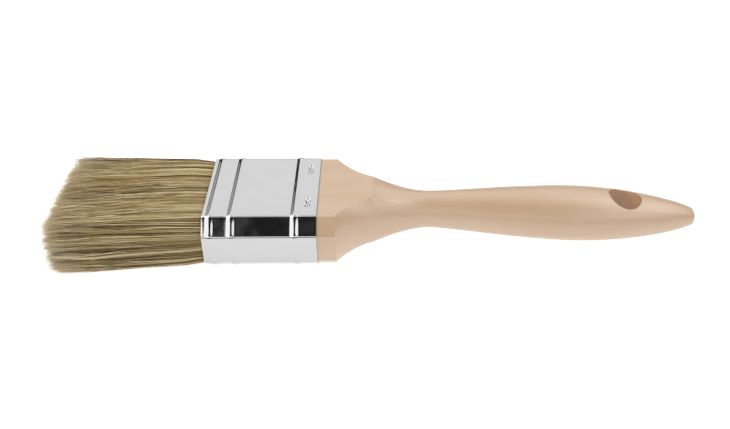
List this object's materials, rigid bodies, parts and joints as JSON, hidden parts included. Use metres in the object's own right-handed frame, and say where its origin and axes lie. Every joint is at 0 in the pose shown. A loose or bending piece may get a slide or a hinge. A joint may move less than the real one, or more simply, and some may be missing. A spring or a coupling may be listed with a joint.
{
  "type": "flat paint brush",
  "caption": "Thick flat paint brush with an octagonal beaded metal ferrule, a shaped beech handle with a hanging hole, and a tuft of natural bristle.",
  "frame": {"origin": "centre of the hanging hole, level with the middle of the ferrule's thickness", "axes": "+X along the brush from the bristle tips to the handle's end, +Y across its width, +Z through its thickness towards the upper broad face and along the hanging hole"},
  "size_m": [0.2465, 0.0532, 0.0244],
  "materials": {
    "beech_wood": "sanded, unlacquered",
    "bright_nickel": "bright plated",
    "setting_resin": "set resin",
    "strip_wood": "sawn",
    "bristle": "natural bristle"
  },
  "bodies": {
    "root": {"handle": "beech_wood", "ferrule": "bright_nickel", "resin_setting": "setting_resin", "filler_strip_front": "strip_wood", "filler_strip_back": "strip_wood", "bristle_pack_front": "bristle", "bristle_pack_middle": "bristle", "bristle_pack_back": "bristle"}
  },
  "joints": []
}
